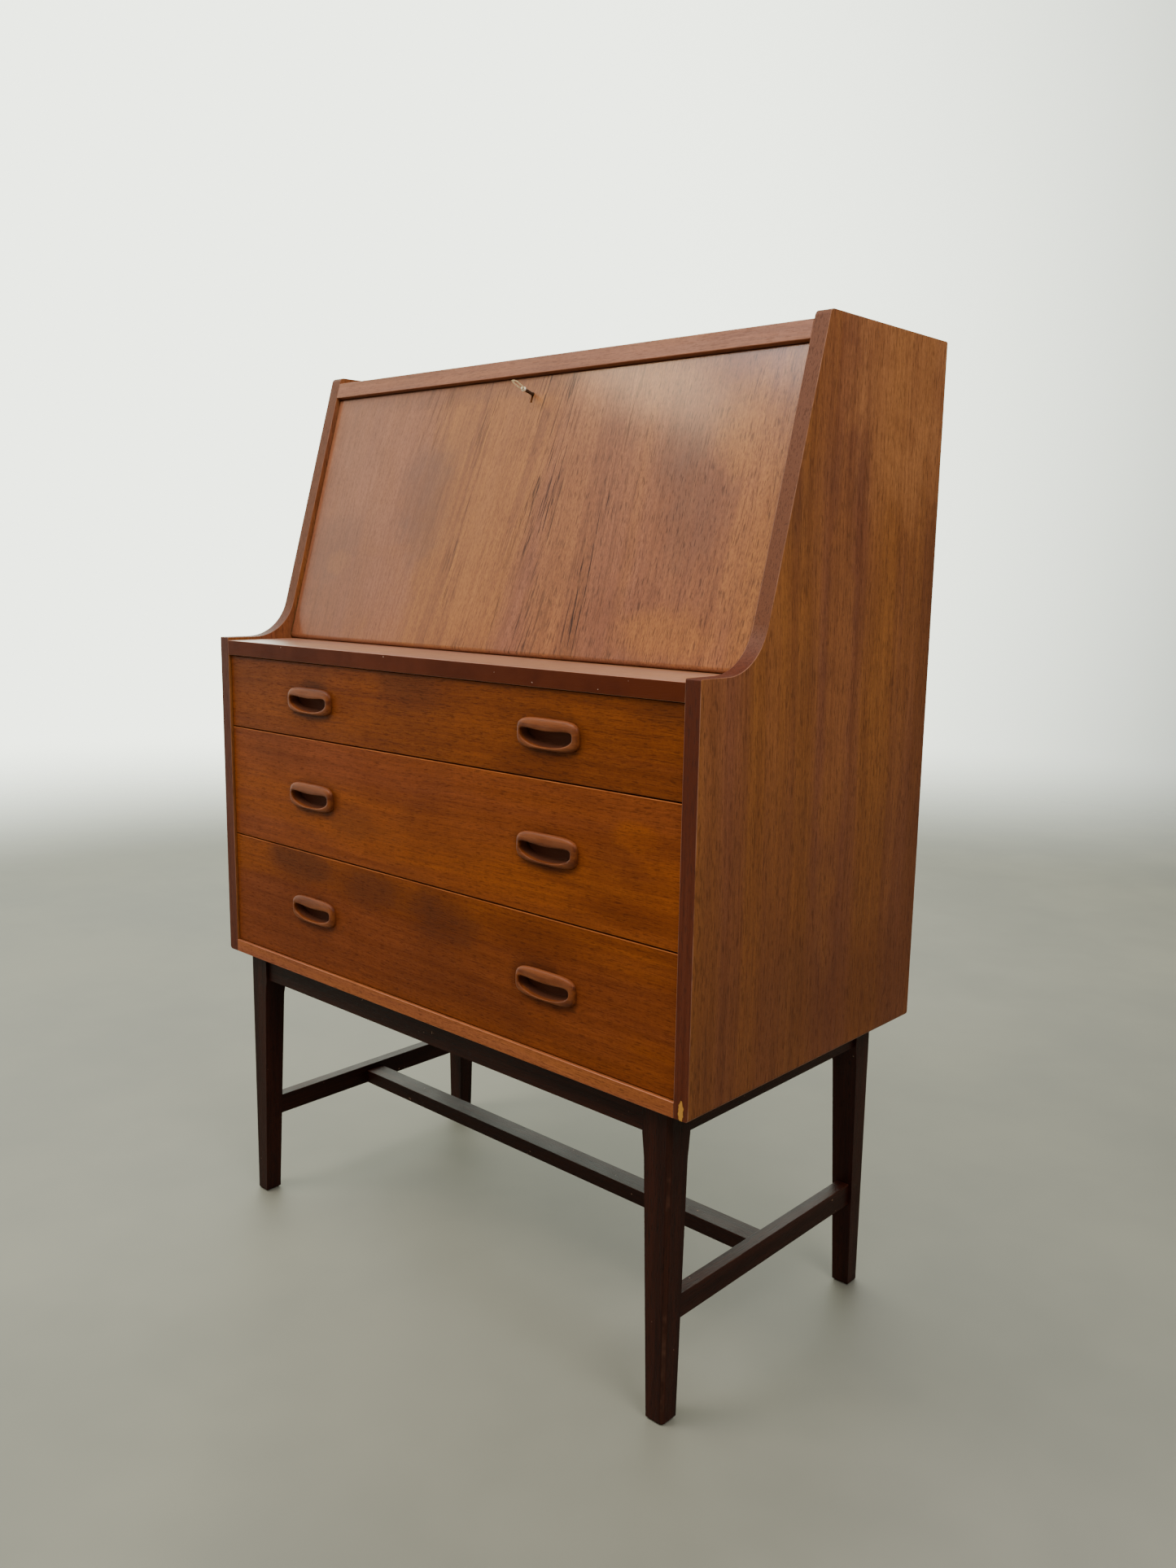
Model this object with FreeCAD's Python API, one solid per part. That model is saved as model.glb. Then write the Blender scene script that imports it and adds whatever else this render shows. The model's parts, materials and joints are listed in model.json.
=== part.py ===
"""Secretary desk: a teak case with a leaning drop flap, three drawers and a dark leg base.

Frame: millimetres, +Z up, the front faces -Y, origin on the floor under the middle of the desk.
Every separate piece is written to parts/ as its own STEP file.
"""
import FreeCAD, Part
import math
import os

from FreeCAD import Placement, Rotation, Vector

# Overall sizes
case_width = 780.0
case_depth = 417.0
total_height = 1096.0
base_height = 338.0
board = 18.0
pull_proud = 2.0           # the pulls stand this far in front of the case's front edges

# Side profile
shoulder_height = 755.0    # top of the low front part of the sides
slope_top_depth = 184.5    # front top corner of the sides, behind the front edge
slope_lean = math.degrees(math.atan(0.283))
shoulder_radius = 62.0
top_corner_radius = 7.0
bottom_edge_radius = 4.0
edge_round = 0.8           # softened arrises

# Boards
ledge_top = 751.5
ledge_thickness = 18.5
floor_board = 16.0         # bottom panel
top_drop = 8.0             # the top lies this far below the tops of the sides
back_thickness = 5.0
back_rebate = 6.0
back_rebate_width = 8.0

# Flap, measured from the slope plane of the sides' front edges, positive inwards
flap_recess = 6.0
flap_thickness = 18.0
flap_end_gap = 1.5
flap_top_gap = 1.5
knuckle = 5.0              # pivot centre to the outer face, and to the underside
running_gap = 0.3
stop_depth = 12.0
stop_height = 21.0

# Hinges
leaf_thickness = 2.5
pin_radius = 2.5
pin_clearance = 0.05
pin_tail = 4.0
boss_radius = 4.0
boss_height = 0.8
case_leaf_length = 50.0
flap_leaf_length = 42.0
flap_leaf_radius = 4.4

# Lock and key
key_drop = 20.9            # key axis below the flap's top edge
lock_half_width = 22.0
lock_height = 38.8
lock_depth = 10.5
lock_wall = 1.5
bolt_thickness = 2.5
bolt_half_width = 11.0
bolt_head_half = 6.0
bolt_throw = 7.0
key_shaft_radius = 1.9
key_length_outside = 33.0
key_bit_radius = 5.5

# Drawers
drawer_recess = 3.0
drawer_side_gap = 1.0
drawer_front_thickness = 20.0
drawer_gaps = (641.0, 499.0)
drawer_gap = 1.6
drawer_top_gap = 1.1
drawer_length = 385.0
drawer_side = 14.0
drawer_side_lift = 8.0     # drawer sides start this far above the front's lower edge
drawer_side_heights = (66.0, 112.0, 112.0)
drawer_bottom = 5.0
tail_length = 12.0
runner_depth = 8.0
runner_height = 14.0
runner_clearance = 0.4
pull_offset = 200.0        # pull centres, either side of the middle

# Pulls
pull_width = 84.0
pull_height = 32.0
pull_rim = 5.0             # how far the rim stands out of the drawer front
pull_inset = 11.0
pull_bow = 3.0
pull_corner = 9.0
pocket_width = 69.0
pocket_low = -11.5         # pocket edges, from the pull's centre
pocket_high = 6.5
pocket_bulge = 3.0
pocket_depth = 13.0

# Inner fit-out
fitout_setback = 240.0
fitout_board = 8.0
fitout_bay = 125.0         # middle of the two uprights, either side of the middle
inner_shelf_height = 846.0
inner_drawer_depth = 160.0
inner_front = 10.0
inner_board = 6.0
inner_gap = 0.7
notch_radius = 14.0

# Base
base_half_width = 360.0
base_front = 12.0          # legs' front face behind the case's front edge
base_back = 388.0
leg_top_x = 35.0
leg_top_y = 32.0
leg_shoulder_x = 32.0
leg_shoulder_y = 29.0
leg_foot_x = 21.5
leg_foot_y = 22.0
flare_height = 25.0
leg_round = 5.0
foot_chamfer = 2.0
apron_height = 33.0
apron_thickness = 18.0
apron_recess = 3.5
stretcher_low = 105.0
stretcher_high = 131.0
stretcher_outer = 356.0
stretcher_width = 16.0
long_rail_width = 28.0
long_rail_low = 106.0
long_rail_high = 124.0
corner_block = 55.0
block_height = 24.0
base_screw_radius = 2.2

# Places worked out from the sizes above
front_y = -(case_depth - pull_proud) / 2
back_y = front_y + case_depth
half_width = case_width / 2
inner_half = half_width - board
top_face = total_height - top_drop
back_face = back_y - back_rebate
lean = math.radians(slope_lean)
pivot_inset = flap_recess + knuckle
pivot_z = ledge_top + knuckle + running_gap
slope_foot = front_y + slope_top_depth - math.tan(lean) * (total_height - pivot_z)
pivot_y = slope_foot + pivot_inset / math.cos(lean)
rail_corner_z = top_face - 19.0
rail_u = (rail_corner_z - pivot_z) / math.cos(lean) - pivot_inset * math.tan(lean)
flap_top = rail_u - flap_top_gap
key_u = flap_top - key_drop
lock_floor = flap_recess + flap_thickness
bolt_plane = lock_floor - 4.25
slope_place = Placement(Vector(0, pivot_y, pivot_z), Rotation(Vector(1, 0, 0), -slope_lean))


def box(x, y, z):
    return Part.makeBox(x[1] - x[0], y[1] - y[0], z[1] - z[0], Vector(x[0], y[0], z[0]))


def cylinder(radius, start, end):
    axis = end.sub(start)
    return Part.makeCylinder(radius, axis.Length, start, axis)


def mirrored(shape):
    """The same piece on the other side of the desk."""
    return shape.mirror(Vector(0, 0, 0), Vector(1, 0, 0))


def group(shapes):
    return shapes[0] if len(shapes) == 1 else Part.makeCompound(shapes)


def outline(corners, place):
    """Closed wire through (a, b, radius) corners, with each corner rounded by a tangent arc."""
    edges = []
    joints = []
    for i, (a, b, radius) in enumerate(corners):
        here = Vector(a, b, 0)
        before = Vector(*corners[i - 1][:2], 0).sub(here).normalize()
        after = Vector(*corners[(i + 1) % len(corners)][:2], 0).sub(here).normalize()
        if radius == 0:
            joints.append((here, here, here))
            continue
        half = before.getAngle(after) / 2
        reach = radius / math.tan(half)
        middle = here + (before + after).normalize() * (radius / math.sin(half) - radius)
        joints.append((here + before * reach, middle, here + after * reach))
    placed = [[place(p.x, p.y) for p in joint] for joint in joints]
    for i, (start, middle, end) in enumerate(placed):
        if start.distanceToPoint(end) > 1e-6:
            edges.append(Part.Arc(start, middle, end).toShape())
        edges.append(Part.LineSegment(end, placed[(i + 1) % len(placed)][0]).toShape())
    return Part.Wire(edges)


def side_prism(corners, x):
    """Prism along X with an outline in the YZ plane."""
    wire = outline(corners, lambda y, z: Vector(x[0], y, z))
    return Part.Face(wire).extrude(Vector(x[1] - x[0], 0, 0))


def front_prism(corners, y):
    """Prism along Y with an outline in the XZ plane."""
    wire = outline(corners, lambda x, z: Vector(x, y[0], z))
    return Part.Face(wire).extrude(Vector(0, y[1] - y[0], 0))


def soften(shape, radius, keep):
    """Round the edges for which keep(middle point, direction) is true."""
    edges = []
    for edge in shape.Edges:
        middle = edge.valueAt((edge.FirstParameter + edge.LastParameter) / 2)
        direction = edge.tangentAt((edge.FirstParameter + edge.LastParameter) / 2)
        if keep(middle, direction):
            edges.append(edge)
    return shape.makeFillet(radius, edges)


def near(a, b):
    return abs(a - b) < 0.01


def slope_box(x, inset, u):
    """Box in the leaning frame: inset is the depth behind the slope plane, u the way up from the pivot."""
    return box(x, (inset[0] - pivot_inset, inset[1] - pivot_inset), u)


def on_slope(shape):
    """Lean a piece that was built upright about the flap's pivot."""
    leaning = shape.copy()
    leaning.Placement = slope_place.multiply(leaning.Placement)
    return leaning


def wood_screw(head, tip_direction, length, radius=1.5):
    """Countersunk screw: head is the middle of its flat face."""
    head_height = radius
    neck = head + tip_direction * head_height
    top = Part.makeCone(radius * 1.9, radius, head_height, head, tip_direction)
    shank = cylinder(radius, neck, head + tip_direction * length)
    return top.fuse(shank).removeSplitter()


# Case

def side_panel():
    """Right side, with its low shoulder, hollow curve and leaning front."""
    slope_at_shoulder = slope_foot + math.tan(lean) * (shoulder_height - pivot_z)
    corners = [
        (front_y, base_height, 0),
        (front_y, shoulder_height, 1.5),
        (slope_at_shoulder, shoulder_height, shoulder_radius),
        (front_y + slope_top_depth, total_height, top_corner_radius),
        (back_y, total_height, 2.0),
        (back_y, base_height, 0),
    ]
    panel = side_prism(corners, (inner_half, half_width))
    panel = soften(panel, bottom_edge_radius,
                   lambda m, d: near(m.z, base_height) and near(m.x, half_width))
    rebate = box((inner_half, inner_half + back_rebate_width), (back_face, back_y),
                 (base_height, top_face))
    panel = panel.cut(rebate)
    low = base_height + bottom_edge_radius
    return soften(panel, edge_round,
                  lambda m, d: near(abs(m.x - half_width + board / 2), board / 2)
                  and m.z > low and m.y < back_y - 20)


def ledge_board():
    ledge = box((-inner_half, inner_half), (front_y, back_face), (ledge_top - ledge_thickness, ledge_top))
    return soften(ledge, edge_round, lambda m, d: near(m.y, front_y) and near(abs(d.x), 1))


def bottom_panel():
    panel = box((-inner_half, inner_half), (front_y, back_face), (base_height, base_height + floor_board))
    return soften(panel, edge_round, lambda m, d: near(m.y, front_y) and near(abs(d.x), 1))


def rail_back_y():
    return slope_point(lock_floor + stop_depth, rail_u).y


def slope_point(inset, u, x=0.0):
    return slope_place.multVec(Vector(x, inset - pivot_inset, u))


def top_rail():
    """Front rail of the top: leaning front face, underside square to the flap."""
    front_top = slope_foot + math.tan(lean) * (top_face - pivot_z)
    low_front = slope_point(0, rail_u)
    low_back = slope_point(lock_floor + stop_depth, rail_u)
    corners = [
        (front_top, top_face, edge_round),
        (low_back.y, top_face, 0),
        (low_back.y, low_back.z, 0),
        (low_front.y, low_front.z, edge_round),
    ]
    rail = side_prism(corners, (-inner_half, inner_half))
    slot = slope_box((-8, 8), (bolt_plane - 2.8, bolt_plane + 2.8), (rail_u - 1, rail_u + 10))
    return rail.cut(on_slope(slot)).cut(strike_plate_blank())


def top_panel():
    return box((-inner_half, inner_half), (rail_back_y(), back_face), (top_face - board, top_face))


def back_panel():
    reach = inner_half + back_rebate_width
    return box((-reach, reach), (back_face, back_face + back_thickness), (base_height + 1, top_face - 1))


def flap_stop():
    """Strip behind the flap's top edge, under the rail."""
    strip = slope_box((-inner_half, inner_half), (lock_floor + running_gap, lock_floor + stop_depth),
                      (rail_u - stop_height, rail_u))
    return on_slope(strip)


def drawer_spans():
    """Lower and upper edge of each drawer front, top drawer first."""
    upper = [ledge_top - ledge_thickness - drawer_top_gap] + [z - drawer_gap / 2 for z in drawer_gaps]
    lower = [z + drawer_gap / 2 for z in drawer_gaps] + [base_height + floor_board + drawer_top_gap]
    return list(zip(lower, upper))


def runner_level(number):
    low = drawer_spans()[number][0] + drawer_side_lift
    return low + drawer_side_heights[number] * 0.55


def drawer_runners():
    """Strips that carry the grooved drawer sides, three on each side panel."""
    strips = []
    for number in range(3):
        level = runner_level(number)
        strip = box((inner_half - runner_depth, inner_half), (front_y + 34, back_face - 5),
                    (level - runner_height / 2, level + runner_height / 2))
        strips += [strip, mirrored(strip)]
    return group(strips)


# Inner fit-out behind the flap

def fitout_front():
    return front_y + fitout_setback


def inner_shelf():
    shelf = box((-inner_half, inner_half), (fitout_front(), back_face),
                (inner_shelf_height, inner_shelf_height + fitout_board))
    return soften(shelf, edge_round, lambda m, d: near(m.y, fitout_front()) and near(abs(d.x), 1))


def inner_dividers():
    """Two uprights under the shelf and two above it."""
    x = (fitout_bay - fitout_board / 2, fitout_bay + fitout_board / 2)
    lower = box(x, (fitout_front() + 2, back_face), (ledge_top, inner_shelf_height))
    upper = box(x, (fitout_front() + 10, back_face), (inner_shelf_height + fitout_board, top_face - board))
    return group([lower, mirrored(lower), upper, mirrored(upper)])


def inner_drawer_span():
    x = (fitout_bay + fitout_board / 2 + inner_gap, inner_half - inner_gap)
    z = (ledge_top + 0.5, inner_shelf_height - 1.0)
    return x, z


def inner_drawer_front():
    """Small drawer front with a half-round finger notch in its top edge."""
    x, z = inner_drawer_span()
    front = box(x, (fitout_front(), fitout_front() + inner_front), z)
    middle = (x[0] + x[1]) / 2
    notch = cylinder(notch_radius, Vector(middle, fitout_front() - 1, z[1]),
                     Vector(middle, fitout_front() + inner_front + 1, z[1]))
    return front.cut(notch)


def inner_drawer_box():
    """Sides, back and bottom of a small drawer, glued edge to edge."""
    x, z = inner_drawer_span()
    y = (fitout_front() + inner_front, fitout_front() + inner_drawer_depth)
    top = z[1] - 12
    bottom = box(x, y, (z[0], z[0] + 4))
    left = box((x[0], x[0] + inner_board), y, (z[0] + 4, top))
    right = box((x[1] - inner_board, x[1]), y, (z[0] + 4, top))
    back = box((x[0] + inner_board, x[1] - inner_board), (y[1] - inner_board, y[1]), (z[0] + 4, top))
    return group([bottom, left, right, back])


# Flap and its hinges

def flap_blank():
    """Flap built upright about its pivot: round lower outer edge, underside level once it leans."""
    outer = -knuckle
    inner = flap_thickness - knuckle
    outward = Vector(0, -1, 0)
    down = Vector(0, math.sin(lean), -math.cos(lean))
    bend = (outward + down).normalize() * knuckle
    under = down * knuckle
    heel = Vector(0, inner, under.z + (inner - under.y) * math.tan(lean))
    points = [Vector(0, outer, 0), under, heel, Vector(0, inner, flap_top), Vector(0, outer, flap_top)]
    edges = [Part.Arc(points[0], bend, points[1]).toShape()]
    for first, second in zip(points[1:], points[2:] + points[:1]):
        edges.append(Part.LineSegment(first, second).toShape())
    half = inner_half - flap_end_gap
    panel = Part.Face(Part.Wire(edges)).extrude(Vector(2 * half, 0, 0))
    panel.translate(Vector(-half, 0, 0))
    return soften(panel, edge_round, lambda m, d: near(m.z, flap_top) and near(abs(d.x), 1))


def keyhole(inset, radius, slot_half, slot_drop):
    """Round hole with a slot below it, through the given depths."""
    y = (inset[0] - pivot_inset, inset[1] - pivot_inset)
    hole = cylinder(radius, Vector(0, y[0], key_u), Vector(0, y[1], key_u))
    slot = box((-slot_half, slot_half), y, (key_u - slot_drop, key_u))
    return hole.fuse(slot).removeSplitter()


def obround(x, length, radius):
    """Flat leaf: a strip with round ends that starts about the pivot and runs up the flap."""
    ends = [cylinder(radius, Vector(x[0], 0, z), Vector(x[1], 0, z)) for z in (0, length)]
    return ends[0].fuse([ends[1], box(x, (-radius, radius), (0, length))]).removeSplitter()


def hinge_places(length):
    return (length * 0.45, length * 0.88)


def flap_leaf():
    """Right hinge leaf let into the flap's end, bored for the pin."""
    end = inner_half - flap_end_gap
    leaf = obround((end - leaf_thickness, end), flap_leaf_length, flap_leaf_radius)
    bore = cylinder(pin_radius + pin_clearance, Vector(end - leaf_thickness - 1, 0, 0), Vector(end + 1, 0, 0))
    return leaf.cut(bore)


def flap_leaf_screws():
    end = inner_half - flap_end_gap
    return [wood_screw(Vector(end, 0, u), Vector(-1, 0, 0), 14) for u in hinge_places(flap_leaf_length)]


def case_leaf():
    """Right hinge leaf let into the side panel, with its boss and pin."""
    end = inner_half - flap_end_gap
    leaf = obround((inner_half, inner_half + leaf_thickness), case_leaf_length, knuckle)
    boss = cylinder(boss_radius, Vector(inner_half - boss_height, 0, 0), Vector(inner_half, 0, 0))
    pin = cylinder(pin_radius, Vector(end - leaf_thickness - pin_tail, 0, 0), Vector(inner_half, 0, 0))
    return leaf.fuse([boss, pin]).removeSplitter()


def case_leaf_screws():
    return [wood_screw(Vector(inner_half, 0, u), Vector(1, 0, 0), 12) for u in hinge_places(case_leaf_length)]


# Lock

def lock_block(shrink):
    """Outside of the lock case, or its hollow when shrink is the wall's thickness."""
    x = lock_half_width - shrink
    inset = (lock_floor - lock_depth + shrink, lock_floor - shrink)
    return slope_box((-x, x), inset, (flap_top - lock_height + shrink, flap_top - shrink))


def lock_case():
    front_wall = (lock_floor - lock_depth - 1, lock_floor - lock_depth + lock_wall + 1)
    bolt_slot = slope_box((-bolt_head_half - 0.5, bolt_head_half + 0.5), (bolt_plane - 1.6, bolt_plane + 1.6),
                          (flap_top - lock_wall - 1, flap_top + 1))
    case = lock_block(0).cut(lock_block(lock_wall))
    return case.cut(keyhole(front_wall, key_shaft_radius + 0.5, 1.5, 7.5)).cut(bolt_slot)


def lock_bolt():
    """Forked plate that straddles the key, with the head that enters the rail."""
    inset = (bolt_plane - bolt_thickness / 2, bolt_plane + bolt_thickness / 2)
    shoulder = flap_top - lock_wall - bolt_throw - 0.8
    foot = flap_top - lock_height + lock_wall + 0.5
    plate = slope_box((-bolt_half_width, bolt_half_width), inset, (foot, shoulder))
    fork = slope_box((-key_shaft_radius - 0.9, key_bit_radius + 0.9), (inset[0] - 1, inset[1] + 1),
                     (foot - 1, key_u + key_shaft_radius + 0.7))
    head = slope_box((-bolt_head_half, bolt_head_half), inset, (shoulder, flap_top - 0.3))
    return plate.cut(fork).fuse(head).removeSplitter()


def key():
    """Key with a collar, a flat loop bow that lies level and a bit that points along the flap."""
    tip = lock_floor - lock_wall - 0.5 - pivot_inset
    outside = -knuckle
    bow_start = outside - key_length_outside * 0.55
    bow_end = outside - key_length_outside
    shaft = cylinder(key_shaft_radius, Vector(0, bow_start - 2, key_u), Vector(0, tip, key_u))
    collar = cylinder(2.9, Vector(0, bow_start + 0.5, key_u), Vector(0, bow_start + 2.5, key_u))
    bit_inset = (bolt_plane - 1.75, bolt_plane + 1.75)
    bit = slope_box((0, key_bit_radius), bit_inset, (key_u - 1.0, key_u + 1.0))
    half = (bow_start - bow_end) / 2
    centre = Vector(0, (bow_start + bow_end) / 2, key_u)
    ring = Part.makeTorus(half - 1.3, 1.3, centre, Vector(0, 0, 1))
    return shaft.fuse([collar, bit, ring]).removeSplitter()


def strike_plate_blank():
    return on_slope(slope_box((-20, 20), (bolt_plane - 4.2, bolt_plane + 4.2), (rail_u, rail_u + 1.2)))


def strike_plate():
    slot = slope_box((-bolt_head_half - 1, bolt_head_half + 1), (bolt_plane - 2.2, bolt_plane + 2.2),
                     (rail_u - 1, rail_u + 3))
    return strike_plate_blank().cut(on_slope(slot))


def strike_screws():
    """Two screws, built upright, up through the strike plate into the rail."""
    return [wood_screw(Vector(x, bolt_plane - pivot_inset, rail_u), Vector(0, 0, 1), 9, 1.2)
            for x in (-14, 14)]


# Drawers

def bowed_block(width, low, high, bow_low, bow_high, y):
    """Block whose lower and upper faces bow downwards or upwards by the given rises."""
    reach = abs(bow_low) + abs(bow_high) + 1
    block = box((-width / 2, width / 2), y, (low - reach, high + reach))
    half = width / 2
    for edge, rise, side in ((low, bow_low, -1), (high, bow_high, 1)):
        radius = (half * half + rise * rise) / (2 * abs(rise))
        outward = rise * side > 0
        centre_z = edge + rise - math.copysign(radius, rise)
        disc = cylinder(radius, Vector(0, y[0] - 1, centre_z), Vector(0, y[1] + 1, centre_z))
        block = block.common(disc) if outward else block.cut(disc)
    return block


def vertical_corners(shape, radius, half):
    return soften(shape, radius, lambda m, d: near(abs(d.y), 1) and near(abs(m.x), half))


def pull():
    """Carved pull about its own centre: thick upper lip, thin lower rim and a deep finger pocket."""
    face = front_y + drawer_recess
    y = (face - pull_rim, face + pull_inset)
    body = bowed_block(pull_width, -pull_height / 2 + pull_bow, pull_height / 2 - pull_bow,
                       -pull_bow, pull_bow, y)
    body = vertical_corners(body, pull_corner, pull_width / 2)
    body = soften(body, 3.0, lambda m, d: near(m.y, y[0]))
    mouth = bowed_block(pocket_width, pocket_low + 2, pocket_high, -2, -pocket_bulge,
                        (y[0] - 1, y[0] + pocket_depth))
    mouth = vertical_corners(mouth, 5.0, pocket_width / 2)
    body = body.cut(mouth)
    undercut = box((-pocket_width / 2 + 4, pocket_width / 2 - 4), (y[0] + 8, y[0] + pocket_depth),
                   (pocket_low + 4, pocket_high + 4))
    return body.cut(undercut)


def placed_pulls(number):
    low, high = drawer_spans()[number]
    pulls = []
    for x in (-pull_offset, pull_offset):
        piece = pull()
        piece.translate(Vector(x, 0, (low + high) / 2))
        pulls.append(piece)
    return pulls


def pull_mortise(number, x):
    low, high = drawer_spans()[number]
    face = front_y + drawer_recess
    body = bowed_block(pull_width, -pull_height / 2 + pull_bow, pull_height / 2 - pull_bow,
                       -pull_bow, pull_bow, (face - pull_rim, face + pull_inset))
    body = vertical_corners(body, pull_corner, pull_width / 2)
    body.translate(Vector(x, 0, (low + high) / 2))
    return body


def drawer_side_blank(number):
    """Right drawer side with its dovetails, runner groove and no groove for the bottom yet."""
    low = drawer_spans()[number][0] + drawer_side_lift
    high = low + drawer_side_heights[number]
    face = front_y + drawer_recess + drawer_front_thickness
    x = (inner_half - drawer_side_gap - drawer_side, inner_half - drawer_side_gap)
    side = box(x, (face, front_y + drawer_length), (low, high))
    count = 3 if number == 0 else 4
    pitch = (high - low) / count
    tails = []
    for i in range(count):
        middle = low + (i + 0.5) * pitch
        root = pitch * 0.27
        tip = root + 2.2
        corners = [(face, middle - root, 0), (face - tail_length, middle - tip, 0),
                   (face - tail_length, middle + tip, 0), (face, middle + root, 0)]
        tails.append(side_prism(corners, x))
    level = runner_level(number)
    reach = runner_height / 2 + runner_clearance
    groove = box((x[1] - runner_depth, x[1] + 1), (face + 8, front_y + drawer_length + 1),
                 (level - reach, level + reach))
    return side.fuse(tails).removeSplitter().cut(groove)


def drawer_bottom_board(number):
    low = drawer_spans()[number][0] + drawer_side_lift + 8
    face = front_y + drawer_recess + drawer_front_thickness
    half = inner_half - drawer_side_gap - drawer_side + 5
    return box((-half, half), (face - 6, front_y + drawer_length), (low, low + drawer_bottom))


def drawer_back(number):
    low = drawer_spans()[number][0] + drawer_side_lift + 8 + drawer_bottom
    high = drawer_spans()[number][0] + drawer_side_lift + drawer_side_heights[number] - 5
    half = inner_half - drawer_side_gap - drawer_side
    end = front_y + drawer_length
    return box((-half, half), (end - drawer_side, end), (low, high))


def drawer_front(number):
    low, high = drawer_spans()[number]
    half = inner_half - drawer_side_gap
    y = (front_y + drawer_recess, front_y + drawer_recess + drawer_front_thickness)
    front = box((-half, half), y, (low, high))
    front = soften(front, edge_round, lambda m, d: near(m.y, y[0]))
    side = drawer_side_blank(number)
    cutters = [side, mirrored(side), drawer_bottom_board(number)]
    cutters += [pull_mortise(number, x) for x in (-pull_offset, pull_offset)]
    return front.cut(cutters)


def drawer_pieces(number):
    bottom = drawer_bottom_board(number)
    side = drawer_side_blank(number).cut(bottom)
    pulls = placed_pulls(number)
    name = "drawer_%d_" % (number + 1)
    return {
        name + "front": drawer_front(number),
        name + "side_right": side,
        name + "side_left": mirrored(side),
        name + "back": drawer_back(number),
        name + "bottom": bottom,
        name + "pull_left": pulls[0],
        name + "pull_right": pulls[1],
    }


# Base

def leg(front):
    """Right leg: straight outside, tapered inside, with a small flare under the apron."""
    apron_low = base_height - apron_height
    flare_low = apron_low - flare_height
    outer = base_half_width
    wide = [(outer, 0, 0), (outer, base_height, 0), (outer - leg_top_x, base_height, 0),
            (outer - leg_top_x, apron_low, 0), (outer - leg_shoulder_x, flare_low, 40.0),
            (outer - leg_foot_x, 0, 0)]
    near_face = front_y + base_front if front else front_y + base_back
    way = 1 if front else -1
    deep = [(near_face, 0, 0), (near_face, base_height, 0), (near_face + way * leg_top_y, base_height, 0),
            (near_face + way * leg_top_y, apron_low, 0),
            (near_face + way * leg_shoulder_y, flare_low, 40.0), (near_face + way * leg_foot_y, 0, 0)]
    blank = front_prism(wide, (front_y, back_y)).common(side_prism(deep, (0, half_width)))
    outer_edge = lambda m, d: near(m.x, outer) and near(m.y, near_face)
    blank = soften(blank, leg_round, outer_edge)
    return blank.makeChamfer(foot_chamfer, [e for e in blank.Edges if near(e.BoundBox.ZMax, 0)])


def apron_long(front):
    """Front or rear apron between two legs."""
    half = base_half_width - leg_top_x
    face = front_y + base_front + apron_recess if front else front_y + base_back - apron_recess
    y = (face, face + apron_thickness) if front else (face - apron_thickness, face)
    return box((-half, half), y, (base_height - apron_height, base_height))


def apron_short():
    """Right apron between the front and rear legs."""
    outer = base_half_width - apron_recess
    y = (front_y + base_front + leg_top_y, front_y + base_back - leg_top_y)
    return box((outer - apron_thickness, outer), y, (base_height - apron_height, base_height))


def stretcher_side(legs):
    """Right stretcher, scribed to its two legs."""
    y = (front_y + base_front + leg_foot_y - 5, front_y + base_back - leg_foot_y + 5)
    bar = box((stretcher_outer - stretcher_width, stretcher_outer), y, (stretcher_low, stretcher_high))
    bar = soften(bar, edge_round, lambda m, d: near(abs(d.y), 1))
    return bar.cut(legs)


def stretcher_long():
    half = stretcher_outer - stretcher_width
    middle = front_y + (base_front + base_back) / 2
    bar = box((-half, half), (middle - long_rail_width / 2, middle + long_rail_width / 2),
              (long_rail_low, long_rail_high))
    return soften(bar, edge_round, lambda m, d: near(abs(d.x), 1))


def corner_blocks_and_screws():
    """Glue blocks in the corners of the aprons, and the screws up through them into the case."""
    blocks = []
    screws = []
    block_low = base_height - block_height
    for front in (True, False):
        way = 1 if front else -1
        x = base_half_width - apron_recess - apron_thickness
        y = front_y + (base_front if front else base_back) + way * (apron_recess + apron_thickness)
        legs = leg(front)
        points = [Vector(x, y, block_low), Vector(x - corner_block, y, block_low),
                  Vector(x, y + way * corner_block, block_low)]
        face = Part.Face(Part.makePolygon(points + points[:1]))
        block = face.extrude(Vector(0, 0, block_height)).cut(legs)
        head = Vector(x - corner_block * 0.34, y + way * corner_block * 0.34, block_low)
        screw = wood_screw(head, Vector(0, 0, 1), block_height + 11, base_screw_radius)
        block = block.cut(screw)
        blocks += [block, mirrored(block)]
        screws += [screw, mirrored(screw)]
    return blocks, screws


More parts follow.
